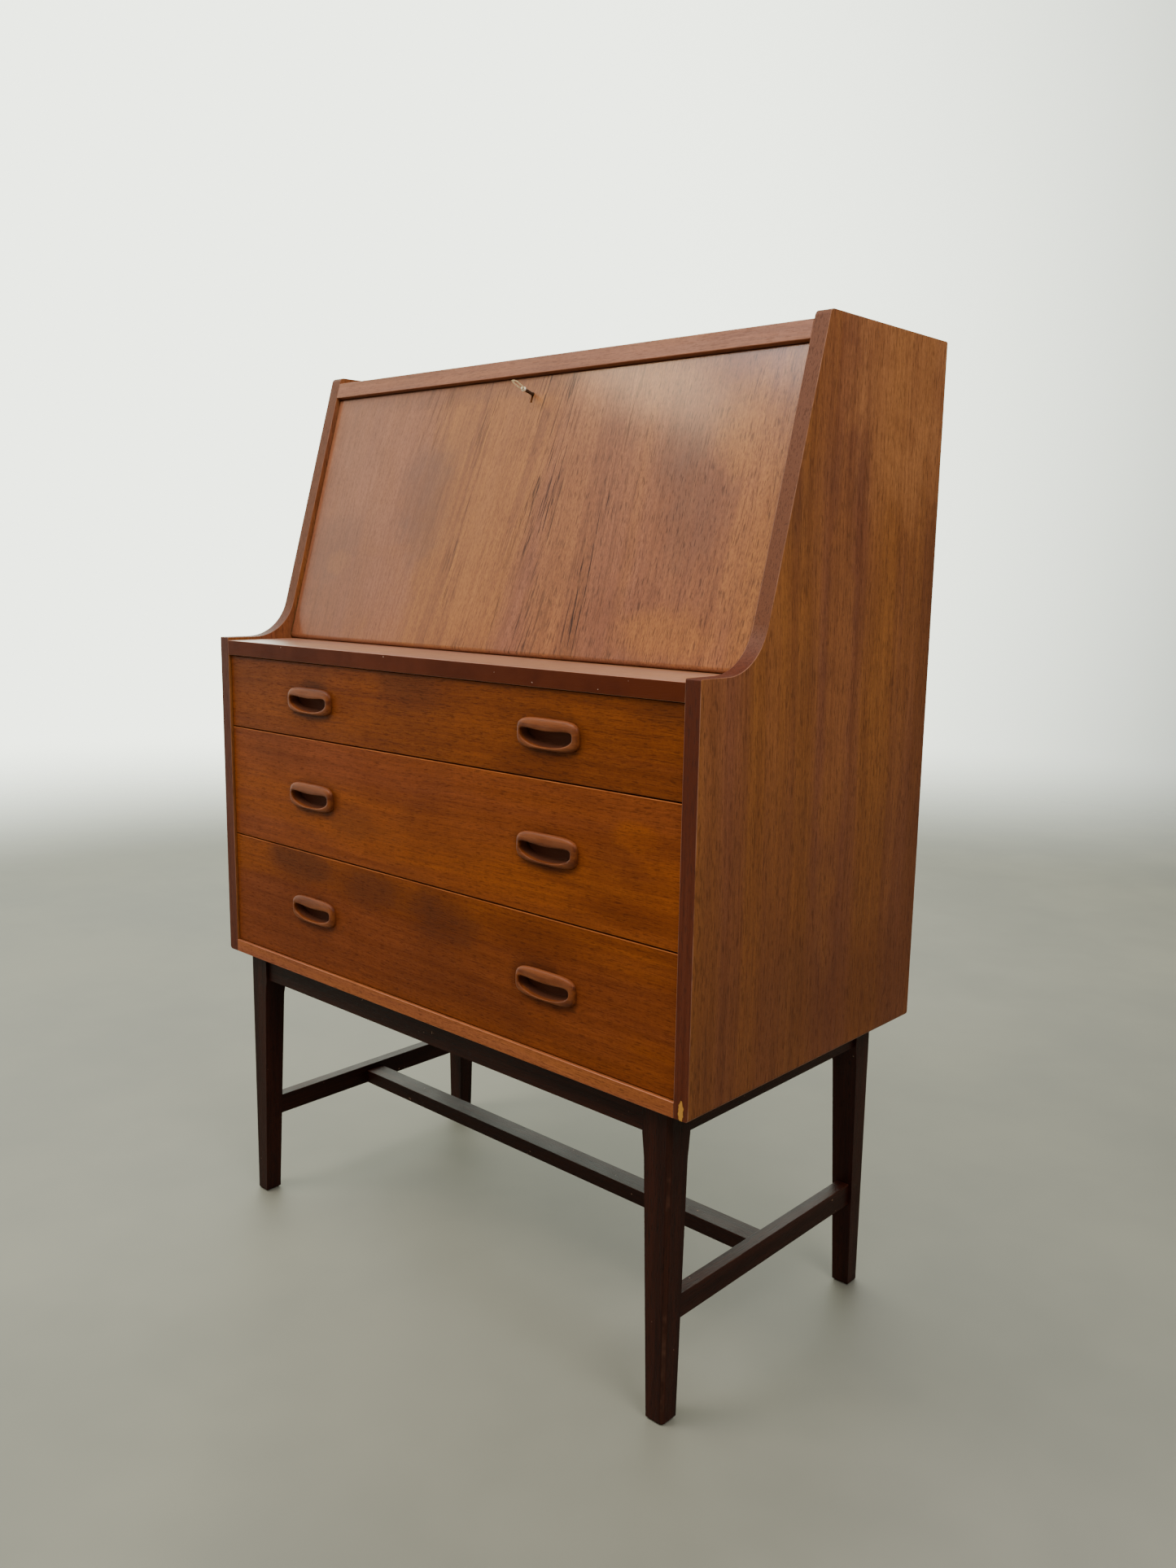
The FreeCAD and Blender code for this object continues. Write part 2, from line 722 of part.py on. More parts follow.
def build():
    pieces = {}

    # hinges, lock and the flap they are let into
    leaf = flap_leaf()
    leaf_screws = flap_leaf_screws()
    flap_fittings = [leaf] + leaf_screws
    tail = cylinder(pin_radius + 0.5, Vector(inner_half - 10, 0, 0), Vector(inner_half, 0, 0))
    flap = flap_blank().cut(lock_block(0))
    flap = flap.cut(keyhole((flap_recess - 1, lock_floor - lock_depth + 1), key_shaft_radius + 0.7, 1.6, 10))
    leaf = leaf.cut(leaf_screws)
    for cutter in flap_fittings + [tail]:
        flap = flap.cut([cutter, mirrored(cutter)])
    pieces["flap"] = on_slope(flap)
    pieces["flap_hinge_leaf_right"] = on_slope(leaf)
    pieces["flap_hinge_leaf_left"] = on_slope(mirrored(leaf))
    pieces["flap_hinge_screws"] = on_slope(group(leaf_screws + [mirrored(s) for s in leaf_screws]))
    pieces["lock_case"] = on_slope(lock_case())
    pieces["lock_bolt"] = on_slope(lock_bolt())
    pieces["key"] = on_slope(key())

    # case
    plate = on_slope(case_leaf())
    plate_screws = [on_slope(s) for s in case_leaf_screws()]
    strike_fixings = [on_slope(s) for s in strike_screws()]
    side = side_panel().cut([plate] + plate_screws)
    plate = plate.cut(plate_screws)
    pieces["side_panel_right"] = side
    pieces["side_panel_left"] = mirrored(side)
    pieces["case_hinge_leaf_right"] = plate
    pieces["case_hinge_leaf_left"] = mirrored(plate)
    pieces["case_screws"] = group(plate_screws + [mirrored(s) for s in plate_screws] + strike_fixings)
    pieces["strike_plate"] = strike_plate().cut(strike_fixings)
    pieces["top_rail"] = top_rail().cut(strike_fixings)
    pieces["top_panel"] = top_panel()
    pieces["desk_board"] = ledge_board()
    pieces["back_panel"] = back_panel()
    pieces["flap_stop"] = flap_stop()
    pieces["drawer_runners"] = drawer_runners()

    # base
    leg_front = leg(True)
    leg_rear = leg(False)
    pieces["leg_front_right"] = leg_front
    pieces["leg_front_left"] = mirrored(leg_front)
    pieces["leg_rear_right"] = leg_rear
    pieces["leg_rear_left"] = mirrored(leg_rear)
    pieces["apron_front"] = apron_long(True)
    pieces["apron_rear"] = apron_long(False)
    pieces["apron_right"] = apron_short()
    pieces["apron_left"] = mirrored(pieces["apron_right"])
    pieces["stretcher_right"] = stretcher_side([leg_front, leg_rear])
    pieces["stretcher_left"] = mirrored(pieces["stretcher_right"])
    pieces["stretcher_long"] = stretcher_long()
    blocks, screws = corner_blocks_and_screws()
    pieces["corner_blocks"] = group(blocks)
    pieces["base_screws"] = group(screws)
    pieces["bottom_panel"] = bottom_panel().cut(screws)

    # inner fit-out
    pieces["inner_shelf"] = inner_shelf()
    pieces["inner_dividers"] = inner_dividers()
    for name, shape in (("front", inner_drawer_front()), ("box", inner_drawer_box())):
        pieces["inner_drawer_right_" + name] = shape
        pieces["inner_drawer_left_" + name] = mirrored(shape)

    for number in range(3):
        pieces.update(drawer_pieces(number))
    return pieces


for name, shape in sorted(build().items()):
    shape.exportStep("parts/%s.step" % name)
    print("%-26s %2d solids  %9.0f mm3  valid %s"
          % (name, len(shape.Solids), shape.Volume, shape.isValid()))
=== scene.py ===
import json
import math
import bmesh
import bpy
from mathutils import Matrix, Vector


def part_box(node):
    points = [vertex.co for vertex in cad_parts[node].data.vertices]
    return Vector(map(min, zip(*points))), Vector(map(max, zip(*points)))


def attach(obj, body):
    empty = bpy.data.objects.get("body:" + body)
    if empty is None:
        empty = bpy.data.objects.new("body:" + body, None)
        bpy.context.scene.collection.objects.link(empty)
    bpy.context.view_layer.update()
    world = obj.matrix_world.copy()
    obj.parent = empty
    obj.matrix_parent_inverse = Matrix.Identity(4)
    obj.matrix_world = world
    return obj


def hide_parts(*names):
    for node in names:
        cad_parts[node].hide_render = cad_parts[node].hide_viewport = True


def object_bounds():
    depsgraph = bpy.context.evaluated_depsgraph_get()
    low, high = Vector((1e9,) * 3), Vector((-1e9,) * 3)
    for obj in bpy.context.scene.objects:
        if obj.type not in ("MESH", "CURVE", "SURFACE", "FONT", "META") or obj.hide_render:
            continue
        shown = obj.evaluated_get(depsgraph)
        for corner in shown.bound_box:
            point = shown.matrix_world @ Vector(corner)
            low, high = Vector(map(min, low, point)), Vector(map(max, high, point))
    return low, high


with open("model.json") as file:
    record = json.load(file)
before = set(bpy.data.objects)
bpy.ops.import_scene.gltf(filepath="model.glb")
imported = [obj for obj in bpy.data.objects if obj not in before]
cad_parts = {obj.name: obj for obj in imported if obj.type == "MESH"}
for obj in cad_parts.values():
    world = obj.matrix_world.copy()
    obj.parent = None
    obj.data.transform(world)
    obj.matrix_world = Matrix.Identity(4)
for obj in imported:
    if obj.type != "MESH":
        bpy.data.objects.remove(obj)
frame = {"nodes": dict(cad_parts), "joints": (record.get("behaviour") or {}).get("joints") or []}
cadLow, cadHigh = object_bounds()
nodes = frame["nodes"]
joints = {joint["name"]: joint for joint in frame["joints"]}
lean = math.radians(joints["flap_fold"]["range_deg"][1] - 90)
mm = 0.001
faceOut = 5 * mm    # from the flap's joints out to its outer face


# --- camera, light and floor

cameraView = {
    "place": (1.069, -1.0975, 0.852),
    "turn": 42.39,      # degrees to the left of straight ahead
    "dip": 9.76,
    "roll": 0.907,
    "lens": 29.05,
}


def makeCamera():
    data = bpy.data.cameras.new("camera")
    data.lens = cameraView["lens"]
    camera = bpy.data.objects.new("camera", data)
    bpy.context.scene.collection.objects.link(camera)
    turn = Matrix.Rotation(math.radians(cameraView["turn"]), 4, "Z")
    dip = Matrix.Rotation(math.radians(90 - cameraView["dip"]), 4, "X")
    roll = Matrix.Rotation(math.radians(cameraView["roll"]), 4, "Z")
    camera.matrix_world = Matrix.Translation(cameraView["place"]) @ turn @ dip @ roll
    bpy.context.scene.camera = camera


lamps = [
    {"name": "keySoftbox", "place": (-1.20, -1.75, 3.30), "aim": (0.1, -0.05, 0.8),
     "size": (1.3, 1.3), "power": 60},
    {"name": "sheenStrip", "place": (-1.68, -1.69, 2.56), "aim": (0.17, -0.03, 1.05),
     "size": (0.55, 0.18), "power": 6, "colour": (1.0, 0.78, 0.50)},
    {"name": "ceilingSoftbox", "place": (0.4, -1.5, 3.1), "aim": (0.1, 0.0, 0.6),
     "size": (2.2, 2.2), "power": 26},
    {"name": "rightSoftbox", "place": (2.0, -0.6, 2.4), "aim": (0.38, 0.0, 1.0),
     "size": (1.2, 1.2), "power": 36},
    {"name": "backSoftbox", "place": (-0.4, 2.9, 2.6), "aim": (0.0, 0.0, 0.8),
     "size": (1.8, 1.8), "power": 26},
]

surroundings = {
    "ambient": (0.25, 0.26, 0.25),
    "bright": (3.6, 3.85, 3.3),
    "towards": (-0.93, 0.35, 0.12),   # the brightest direction, behind the desk
    "glow": (0.45, 0.89),             # how squarely a direction faces it, from no glow to full
    "floorLight": (0.245, 0.233, 0.177),
    "floorDark": (0.190, 0.182, 0.141),
    "floorFade": (2.3, 5.2),          # metres from the desk
}


def makeLamps():
    for lamp in lamps:
        data = bpy.data.lights.new(lamp["name"], "AREA")
        data.shape = "RECTANGLE"
        data.size, data.size_y = lamp["size"]
        data.energy = lamp["power"]
        data.color = lamp.get("colour", (1, 1, 1))
        holder = bpy.data.objects.new(lamp["name"], data)
        bpy.context.scene.collection.objects.link(holder)
        way = Vector(lamp["aim"]) - Vector(lamp["place"])
        holder.location = lamp["place"]
        holder.rotation_euler = way.to_track_quat("-Z", "Y").to_euler()


def makeWorld():
    # pale ambient light with a soft bright area behind the desk
    world = bpy.data.worlds.new("studio")
    world.use_nodes = True
    bpy.context.scene.world = world
    f = Finish("studio", world.node_tree)
    way = f.node("ShaderNodeTexCoord", output=0)
    aim = f.node("ShaderNodeVectorMath", {"operation": "DOT_PRODUCT"},
                 {0: way, 1: Vector(surroundings["towards"]).normalized()}, 1)
    glow = f.step(aim, *surroundings["glow"])
    shade = f.mix(glow, surroundings["ambient"], surroundings["bright"])
    f.join(world.node_tree.nodes["Background"].inputs["Color"], shade)


def makeFloor():
    bm = bmesh.new()
    bmesh.ops.create_circle(bm, cap_ends=True, segments=64, radius=surroundings["floorFade"][1])
    mesh = bpy.data.meshes.new("floor")
    bm.to_mesh(mesh)
    bm.free()
    f = Finish("paleFloor")
    x, y, z = f.place()
    cloud = f.noise(f.vector(x, y, z), 1.6, 4.0, 0.6)
    away = f.node("ShaderNodeVectorMath", {"operation": "LENGTH"}, {0: f.vector(x, y, z)}, 1)
    tone = f.mix(f.step(cloud, 0.3, 0.7), surroundings["floorDark"], surroundings["floorLight"])
    fade = f.step(away, *surroundings["floorFade"], 1.0, 0.0)
    f.set(BaseColor=tone, Roughness=0.55 + 0.1 * cloud, Alpha=fade)
    mesh.materials.append(f.material)
    floor = bpy.data.objects.new("floor", mesh)
    bpy.context.scene.collection.objects.link(floor)


# --- materials

def operator(operation):
    # an arithmetic operator that adds one Math node
    def apply(self, other):
        return self.finish.node("ShaderNodeMath", {"operation": operation}, {0: self, 1: other})
    return apply


class Wire:
    # a socket that can be used in sums like a number
    def __init__(self, finish, socket):
        self.finish = finish
        self.socket = socket

    __add__ = __radd__ = operator("ADD")
    __mul__ = __rmul__ = operator("MULTIPLY")
    __sub__ = operator("SUBTRACT")
    __truediv__ = operator("DIVIDE")


class Finish:
    # a material and the nodes that make it, or the nodes of another tree
    def __init__(self, name, tree=None):
        if not tree:
            self.material = bpy.data.materials.new(name)
            self.material.use_nodes = True
            tree = self.material.node_tree
            self.shader = tree.nodes["Principled BSDF"]
        self.tree = tree

    def node(self, kind, settings=None, values=None, output=0):
        made = self.tree.nodes.new(kind)
        for key, value in (settings or {}).items():
            setattr(made, key, value)
        for key, value in (values or {}).items():
            self.join(made.inputs[key], value)
        return Wire(self, made.outputs[output])

    def join(self, socket, value):
        if isinstance(value, Wire):
            self.tree.links.new(value.socket, socket)
        else:
            socket.default_value = value

    def set(self, **values):
        # shader sockets by name, with spaces left out
        for socket in self.shader.inputs:
            key = socket.name.replace(" ", "")
            if key in values:
                self.join(socket, values[key])

    def place(self, tilt=0.0):
        # the piece's own coordinates as three wires, leaned back to upright by the tilt
        spot = self.node("ShaderNodeTexCoord", output=3)
        turned = self.node("ShaderNodeMapping", {"vector_type": "POINT"},
                           {"Vector": spot, "Rotation": (tilt, 0, 0)})
        return self.split(turned)

    def facing(self, tilt=0.0):
        # how squarely the surface faces each axis, 0 to 1
        normal = self.node("ShaderNodeTexCoord", output=1)
        turned = self.node("ShaderNodeMapping", {"vector_type": "POINT"},
                           {"Vector": normal, "Rotation": (tilt, 0, 0)})
        settings = {"operation": "ABSOLUTE"}
        return [self.node("ShaderNodeMath", settings, {0: part}) for part in self.split(turned)]

    def split(self, vector):
        made = self.tree.nodes.new("ShaderNodeSeparateXYZ")
        self.join(made.inputs[0], vector)
        return [Wire(self, output) for output in made.outputs]

    def vector(self, x, y, z):
        return self.node("ShaderNodeCombineXYZ", None, {0: x, 1: y, 2: z})

    def noise(self, vector, scale=1.0, detail=2.0, rough=0.5, twist=0.0):
        values = {"Vector": vector, "Scale": scale, "Detail": detail, "Roughness": rough,
                  "Distortion": twist}
        return self.node("ShaderNodeTexNoise", None, values)

    def step(self, value, low, high, start=0.0, end=1.0):
        # smooth step of a wire from low to high
        values = {"Value": value, "From Min": low, "From Max": high, "To Min": start, "To Max": end}
        return self.node("ShaderNodeMapRange", {"interpolation_type": "SMOOTHSTEP"}, values)

    def most(self, one, other):
        return self.node("ShaderNodeMath", {"operation": "MAXIMUM"}, {0: one, 1: other})

    def mix(self, share, one, other, blend="MIX"):
        # colours one and other mixed by share
        settings = {"data_type": "RGBA", "blend_type": blend}
        colours = {0: share, 6: self.colour(one), 7: self.colour(other)}
        return self.node("ShaderNodeMix", settings, colours, 2)

    def colour(self, value):
        return value if isinstance(value, Wire) else (*value, 1)

    def bump(self, height, depth, strength=1.0):
        self.set(Normal=self.node("ShaderNodeBump", None,
                                  {"Height": height, "Distance": depth, "Strength": strength}))


teakTones = {
    "rosy": (0.245, 0.094, 0.056),
    "golden": (0.305, 0.120, 0.034),
    "deep": (0.125, 0.040, 0.018),
    "smoke": (0.110, 0.048, 0.036),
    "pore": (0.030, 0.010, 0.006),
    # used only for painted light: the flap's painted highlight and the lit upper part of the sides
    "bright": (0.420, 0.185, 0.080),
    "worn": (0.52, 0.27, 0.17),
    "tint": (1, 1, 1),     # multiplies the tones above
    "grain": "up",         # the way it runs: up, wide or deep
    "tilt": 0.0,           # radians that the board leans back
    "slant": 0.0,          # sideways drift of the grain along its length
    "wander": 0.016,       # metres
    "bandScale": 10.0,     # per metre across the grain
    "bandLength": 0.6,     # per metre along the grain
    "streaks": 0.5,
    "lines": 0.0,          # long dark lines
    "face": 0.0,           # where the outer face lies, which has the long lines
    "lineZones": (),       # (middle, half width, strength), metres across the grain
    "dashes": 0.5,
    "dashSize": 1.0,
    "edgeShade": 0.0,      # darkening of the faces that don't face the front
    "dashSplit": None,     # the dashes grow from the first to the second place across the grain
    "clouds": 0.35,
    "grit": 0.14,
    "gloss": 0.42,
    "specular": 0.25,
    "lacquer": 0.0,
    "coatRough": 0.16,     # of the lacquer
    "arris": 0.6,
    "patches": (),         # (x, height, half width, half height, tone, share)
    "patchFoot": 0.0,
    "seed": 0.0,
}


def grainAxes(grain, x, y, z):
    # along the grain, across it and through the board
    return {"up": (z, x, y), "wide": (x, z, y), "deep": (y, x, z)}[grain]


def tinted(look, key):
    return tuple(part * share for part, share in zip(look[key], look["tint"]))


def teakTone(f, look, x, y, z):
    # colour, darkness of the pores and lines, and fibre of one board of teak
    seed = look["seed"]
    along, across, third = grainAxes(look["grain"], x, y, z)
    drift = f.noise(f.vector(x + seed, y, z), 2.3, 1.0) - 0.5
    ripple = f.noise(f.vector(x, y + seed, z), 11.0, 1.0) - 0.5
    shift = drift * (2 * look["wander"]) + ripple * (0.3 * look["wander"])
    if look["slant"]:
        lay = f.step(across, *look["slantRight"]) * f.step(across, *look["slantLeft"], 0.35, 1.0)
        rise = along - look["patchFoot"] - look["slantHeight"]
        shift = shift - rise * lay * look["slant"]
    u = across + shift + seed
    v = third + 0.37 * seed
    w = along + 0.61 * seed

    def grain(wide, length, detail, rough=0.5, twist=0.0):
        # noise drawn out along the grain: features per metre across and along it
        return f.noise(f.vector(u * wide, v * wide, w * length), 1.0, detail, rough, twist)

    bands = grain(look["bandScale"], look["bandLength"], 3.0, 0.55, 0.25)
    streaks = grain(75.0, 1.8, 4.0, 0.62)
    fine = grain(260.0, 5.0, 2.0, 0.6)
    fibre = grain(700.0, 14.0, 1.5)
    cloud = f.noise(f.vector(x + seed, y, z), 4.6, 2.0, 0.5, 0.6)
    blotch = f.noise(f.vector(x, y, z + seed), 16.0, 3.0, 0.6, 0.3)

    tone = f.mix(f.step(bands, 0.36, 0.64), tinted(look, "rosy"), tinted(look, "golden"))
    tone = f.mix(f.step(streaks, 0.40, 0.74) * look["streaks"], tone, tinted(look, "deep"))
    tone = f.mix(f.step(cloud, 0.48, 0.72) * look["clouds"], tone, tinted(look, "smoke"))
    for spotX, spotZ, halfX, halfZ, name, share in look["patches"]:
        offX = (x - spotX) / halfX
        offZ = (z - spotZ - look["patchFoot"]) / halfZ
        reach = offX * offX + offZ * offZ + (blotch - 0.5) * 1.6 + (streaks - 0.5) * 0.9
        tone = f.mix(f.step(reach, 1.15, 0.05) * share, tone, tinted(look, name))
    tone = f.mix(f.step(blotch, 0.38, 0.72) * 0.22, tone, tinted(look, "deep"))
    tone = f.mix(f.step(fine, 0.38, 0.66) * 0.28, tone, tinted(look, "deep"))
    tone = f.mix(f.step(fibre, 0.34, 0.66), tone, (0.60, 0.58, 0.56), "SOFT_LIGHT")
    grit = f.noise(f.vector(x, y, z * 0.6), 430.0, 2.0)
    tone = f.mix(f.step(grit, 0.40, 0.66) * look["grit"], tone, tinted(look, "deep"))

    size = look["dashSize"]
    dashes = f.step(grain(820.0 / size, 90.0 / size, 1.0), 0.560, 0.67) * look["dashes"]
    pores = f.step(grain(1350.0, 170.0, 1.0), 0.55, 0.65) * (0.8 * look["dashes"])
    if look["dashSplit"]:
        crowd = f.step(across, *look["dashSplit"], 0.45, 1.0)
        dashes = dashes * crowd
        pores = pores * crowd
    dark = f.most(dashes * 0.52, pores * 0.40)
    if look["lines"]:
        gather = f.step(grain(26.0, 6.5, 1.0), 0.40, 0.56, 0.25, 1.0)
        long = f.step(grain(370.0, 15.0, 1.5), 0.535, 0.620) * gather
        broken = f.step(grain(500.0, 60.0, 1.0), 0.36, 0.50, 0.40, 1.0)
        long = long * broken * look["lines"]
        zones = 0.0
        for middle, half, strength in look["lineZones"]:
            off = f.node("ShaderNodeMath", {"operation": "ABSOLUTE"}, {0: across - middle})
            zones = f.most(zones, f.step(off, half, 0.3 * half, 0.0, strength))
        outside = f.step(third, look["face"] + 4 * mm, look["face"] + 1 * mm, 0.15, 1.0)
        dark = f.most(dark, long * (0.10 + 0.90 * zones) * outside)
    return f.mix(dark, tone, tinted(look, "pore")), dark, fibre, blotch


def finishTeak(f, look, tone, dark, fibre, blotch, lacquered=1.0):
    # lacquered is a wire where only some of the faces are lacquered
    rough = look["gloss"] + 0.12 * blotch + 0.06 * fibre + 0.20 * dark
    f.set(BaseColor=tone, Roughness=rough, CoatWeight=lacquered * look["lacquer"])
    f.shader.inputs["Specular IOR Level"].default_value = look["specular"]
    f.shader.inputs["Coat Roughness"].default_value = look["coatRough"]
    f.bump(fibre * 0.22 - dark, 0.22 * mm, 0.55)


def teak(name, **changes):
    look = {**teakTones, **changes}
    f = Finish(name)
    x, y, z = f.place(tilt=look["tilt"])
    tone, dark, fibre, blotch = teakTone(f, look, x, y, z)
    faceX, faceY, faceZ = f.facing(look["tilt"])
    arris = f.step(f.most(f.most(faceX, faceY), faceZ), 0.985, 0.90)
    arris = arris * f.step(blotch, 0.34, 0.60, 0.3, 1.0)
    tone = f.mix(arris * look["arris"], tone, tinted(look, "worn"))
    if look["edgeShade"]:
        tone = f.mix(f.step(faceY, 0.90, 0.40) * look["edgeShade"], tone, look["pore"])
    finishTeak(f, look, tone, dark, fibre, blotch)
    return f.material


def ledgeTeak(name, **changes):
    # the writing board, with a darker solid strip along its front edge
    look = {**teakTones, **changes}
    f = Finish(name)
    x, y, z = f.place()
    tone, dark, fibre, blotch = teakTone(f, look, x, y, z)
    faceX, faceY, faceZ = f.facing()
    strip = f.mix(f.step(blotch, 0.3, 0.7), look["strip"], look["stripDeep"])
    tone = f.mix(f.step(faceY, 0.80, 0.95), tone, strip)
    arris = f.step(f.most(faceY, faceZ), 0.985, 0.90) * f.step(blotch, 0.34, 0.60, 0.3, 1.0)
    tone = f.mix(arris * look["arris"], tone, look["worn"])
    specks = f.step(f.noise(f.vector(x, y, z), 260.0, 1.0), 0.775, 0.80) * f.step(faceZ, 0.999, 0.97)
    tone = f.mix(specks * look["nicks"], tone, look["nick"])
    finishTeak(f, look, tone, dark, fibre, blotch, f.step(faceZ, 0.80, 0.95))
    return f.material


def sideTeak(name, chipped, **changes):
    # a veneered side with solid lipping on its edges
    look = {**teakTones, **changes}
    f = Finish(name)
    x, y, z = f.place()
    tone, dark, fibre, blotch = teakTone(f, look, y, x, z)
    faceX = f.facing()[0]
    lipTone = f.mix(f.step(f.noise(f.vector(x * 260, y * 260, z * 5), 1.0, 3.0, 0.6), 0.35, 0.68),
                    look["lip"], look["lipDeep"])
    shoulder = f.step(z, *look["shoulderFoot"]) * f.step(z, *look["shoulderTop"])
    lipTone = f.mix(shoulder * 0.85, lipTone, look["lipDeep"])
    # painted light: the lipping is lighter where it turns up onto the slope
    lipTone = f.mix(f.step(z, *look["slopeFoot"]) * 0.8, lipTone, look["lipSlope"])
    lipTone = f.mix(dark, lipTone, look["pore"])
    tone = f.mix(f.step(faceX, 0.75, 0.35), tone, lipTone)
    arris = f.step(faceX, 0.06, 0.20) * f.step(faceX, 0.97, 0.85)
    arris = arris * f.step(blotch, 0.36, 0.62, 0.25, 1.0)
    tone = f.mix(arris * look["arris"], tone, look["worn"])
    if chipped:
        tone = f.mix(cornerChip(f, x, y, z), tone, chip["bare"])
    finishTeak(f, look, tone, dark, fibre, blotch)
    return f.material


chip = {
    "fromRight": 0.0090,
    "fromFront": 0.001,
    "fromFoot": 0.009,
    "halfWide": 0.0030,
    "halfDeep": 0.006,
    "halfHigh": 0.0100,
    "bare": (0.52, 0.24, 0.045),
}


def cornerChip(f, x, y, z):
    # a bare sliver where the right side's front corner was knocked
    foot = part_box("side_panel_right")[0].z
    offX = (x - (cadHigh.x - chip["fromRight"])) / chip["halfWide"]
    offY = (y - (cadLow.y + chip["fromFront"])) / chip["halfDeep"]
    offZ = (z - (foot + chip["fromFoot"])) / chip["halfHigh"]
    wobble = (f.noise(f.vector(x, y, z), 230.0, 2.0) - 0.5) * 2.2
    reach = offX * offX + offY * offY + offZ * offZ + wobble
    return f.step(reach, 1.15, 0.90)


darkTones = {
    "base": (0.0200, 0.0042, 0.0022),
    "light": (0.0400, 0.0085, 0.0040),
    "vein": (0.0080, 0.0022, 0.0014),
    "nick": (0.34, 0.19, 0.12),
    "rubbed": (0.125, 0.052, 0.030),
    "grain": "up",
    "seed": 0.0,
}


def darkWood(name, **changes):
    # the stained frame: nearly black with red-brown figure, small nicks and rubbed arrises
    look = {**darkTones, **changes}
    f = Finish(name)
    seed = look["seed"]
    x, y, z = f.place()
    along, across, third = grainAxes(look["grain"], x, y, z)
    wander = f.noise(f.vector(x + seed, y, z), 5.0, 1.0) * 0.012
    u = across + wander + seed
    v = third + wander
    bands = f.noise(f.vector(u * 70, v * 70, along * 2.5), 1.0, 3.0, 0.6)
    fibre = f.noise(f.vector(u * 650, v * 650, along * 20), 1.0, 2.0)
    pores = f.step(f.noise(f.vector(u * 1000, v * 1000, along * 85), 1.0, 1.0), 0.56, 0.67)
    specks = f.noise(f.vector(x, y, z + seed), 170.0, 1.0)
    scuffs = f.noise(f.vector(x + seed, y, z), 24.0, 3.0, 0.6)
    tone = f.mix(f.step(bands, 0.35, 0.70), look["base"], look["light"])
    tone = f.mix(f.most(f.step(fibre, 0.45, 0.75) * 0.45, pores * 0.7), tone, look["vein"])
    faceX, faceY, faceZ = f.facing()
    arris = f.step(f.most(f.most(faceX, faceY), faceZ), 0.985, 0.88)
    tone = f.mix(arris * f.step(scuffs, 0.46, 0.66, 0.10, 0.7), tone, look["rubbed"])
    nicks = f.step(specks, 0.765, 0.80) * f.step(scuffs, 0.53, 0.60)
    tone = f.mix(nicks * 0.8, tone, look["nick"])
    f.set(BaseColor=tone, Roughness=0.34 + 0.16 * scuffs + 0.08 * fibre)
    f.shader.inputs["Specular IOR Level"].default_value = 0.14
    f.bump(0.3 * fibre - pores - nicks, 0.2 * mm, 0.5)
    return f.material


def paleWood(name, light, dark, grain="deep", speck=0.3, rough=0.62, seed=0.0):
    # unpolished inner woods: straight bands, ray flecks and old stains
    f = Finish(name)
    x, y, z = f.place()
    along, across, third = grainAxes(grain, x, y, z)
    wander = f.noise(f.vector(x, y, z + seed), 3.0, 1.0) * 0.02
    u = across + wander + seed
    v = third + wander
    bands = f.noise(f.vector(u * 38, v * 38, along * 1.4), 1.0, 3.0, 0.6)
    fibre = f.noise(f.vector(u * 600, v * 600, along * 12), 1.0, 2.0)
    rays = f.step(f.noise(f.vector(u * 900, v * 900, along * 140), 1.0, 1.0), 0.60, 0.70) * speck
    stain = f.noise(f.vector(x, y, z), 6.0, 3.0, 0.6)
    tone = f.mix(f.step(bands, 0.35, 0.68), light, dark)
    tone = f.mix(f.step(stain, 0.46, 0.75) * 0.4, tone, tuple(0.55 * part for part in dark))
    tone = f.mix(f.step(fibre, 0.34, 0.70) * 0.25, tone, tuple(0.6 * part for part in dark))
    tone = f.mix(rays, tone, tuple(0.4 * part for part in dark))
    f.set(BaseColor=tone, Roughness=rough + 0.1 * bands)
    f.shader.inputs["Specular IOR Level"].default_value = 0.3
    f.bump(0.3 * fibre - rays, 0.15 * mm, 0.5)
    return f.material


pullTones = {
    "light": (0.215, 0.056, 0.013),
    "dark": (0.105, 0.023, 0.0058),
    "pore": (0.028, 0.009, 0.005),
    "worn": (0.27, 0.095, 0.038),
    "hollow": (0.105, 0.030, 0.0125),
}


def carvedTeak(name):
    # solid wood, rubbed bright on its crown and painted darker in the hollow as shade
    f = Finish(name)
    x, y, z = f.place()
    wander = f.noise(f.vector(x, y, z), 22.0, 1.0) * 0.004
    u = z + wander
    v = y + wander
    bands = f.noise(f.vector(x * 7, v * 150, u * 150), 1.0, 3.0, 0.6)
    pores = f.step(f.noise(f.vector(x * 110, v * 1100, u * 1100), 1.0, 1.0), 0.57, 0.68)
    rub = f.noise(f.vector(x, y, z), 55.0, 2.0)
    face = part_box("drawer_1_front")[0].y
    tone = f.mix(f.step(bands, 0.35, 0.70), pullTones["light"], pullTones["dark"])
    tone = f.mix(pores * 0.32, tone, pullTones["pore"])
    crown = f.step(y, face - 3.4 * mm, face - 4.8 * mm) * f.step(rub, 0.30, 0.65)
    tone = f.mix(crown * 0.25, tone, pullTones["worn"])
    # painted shade: the pocket behind the drawer's face is darkened
    inside = f.step(y, face - 2.2 * mm, face + 2.2 * mm)
    tone = f.mix(inside * 0.92, tone, pullTones["hollow"])
    f.set(BaseColor=tone, Roughness=0.32 + 0.14 * rub + 0.08 * bands + 0.32 * inside)
    f.shader.inputs["Specular IOR Level"].default_value = 0.15
    f.bump(bands * 0.3 - pores, 0.12 * mm, 0.4)
    return f.material


metals = {              # bright, tarnished, roughness and share of tarnish
    "wornBrass": ((0.60, 0.40, 0.16), (0.20, 0.12, 0.06), 0.30, 0.5),
    "dullSteel": ((0.42, 0.40, 0.37), (0.16, 0.14, 0.12), 0.42, 0.5),
    "pinSteel": ((0.46, 0.40, 0.32), (0.17, 0.12, 0.08), 0.36, 0.8),
}


